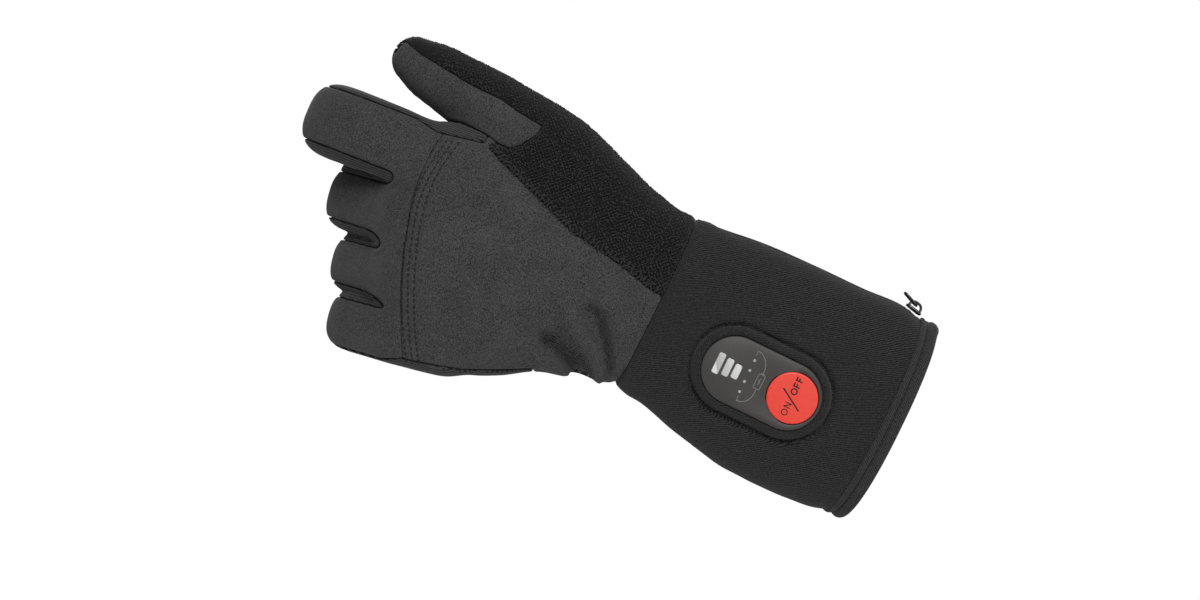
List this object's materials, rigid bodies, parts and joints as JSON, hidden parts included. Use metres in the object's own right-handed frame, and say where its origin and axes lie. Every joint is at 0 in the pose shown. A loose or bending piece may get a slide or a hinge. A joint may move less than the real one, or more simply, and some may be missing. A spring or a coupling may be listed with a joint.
{
  "type": "heated glove",
  "caption": "Left-hand heated glove in its worn form: long knitted cuff with a side zip, softshell back, looped thumb cloth, grip palm and an oval control panel.",
  "frame": {"origin": "middle of the cuff's open end, where the hand goes in", "axes": "+X along the cuff towards the forearm, +Z to the thumb side, -Y to the back of the hand"},
  "size_m": [0.293, 0.1201, 0.1388],
  "materials": {
    "softshell": "matt softshell, fine speckle",
    "knit": "matt ribbed knit",
    "terry": "looped pile",
    "grip": "matt cloth with a raised printed grip",
    "jersey": "smooth jersey",
    "tape": "woven tape",
    "coil": "satin",
    "gunmetal": "gunmetal plating",
    "housing": "satin rubberised",
    "lens": "frosted",
    "button": "satin"
  },
  "bodies": {
    "glove": {"cuff_back": "knit", "cuff_palm": "knit", "hem_binding": "jersey", "back_panel": "softshell", "finger_panel": "softshell", "terry_panel": "terry", "thumb_side": "softshell", "thumb_palm": "grip", "index_side": "softshell", "little_side": "softshell", "fourchette_1": "softshell", "fourchette_2": "softshell", "fourchette_3": "softshell", "palm_panel": "grip", "zip_tape": "tape", "zip_coil": "coil", "zip_slider": "gunmetal", "control_plate": "housing", "led_bar_1": "lens", "led_bar_2": "lens", "led_bar_3": "lens", "control_ring": "knit", "battery_pocket": "knit", "pocket_piping": "jersey"},
    "zip_pull": {"zip_pull": "gunmetal"},
    "power_button": {"power_button": "button"}
  },
  "joints": [
    {"name": "pull_hinge", "type": "hinge", "parent": "glove", "child": "zip_pull", "pos_m": [-0.00691, 0, 0.05297], "axis": [0, 1, 0], "range_deg": [-4, 138]},
    {"name": "button_press", "type": "slide", "parent": "glove", "child": "power_button", "axis": [0.0658, 0.9978, 0], "range_m": [0, 0.0005], "stiffness_N_per_m": 400}
  ]
}
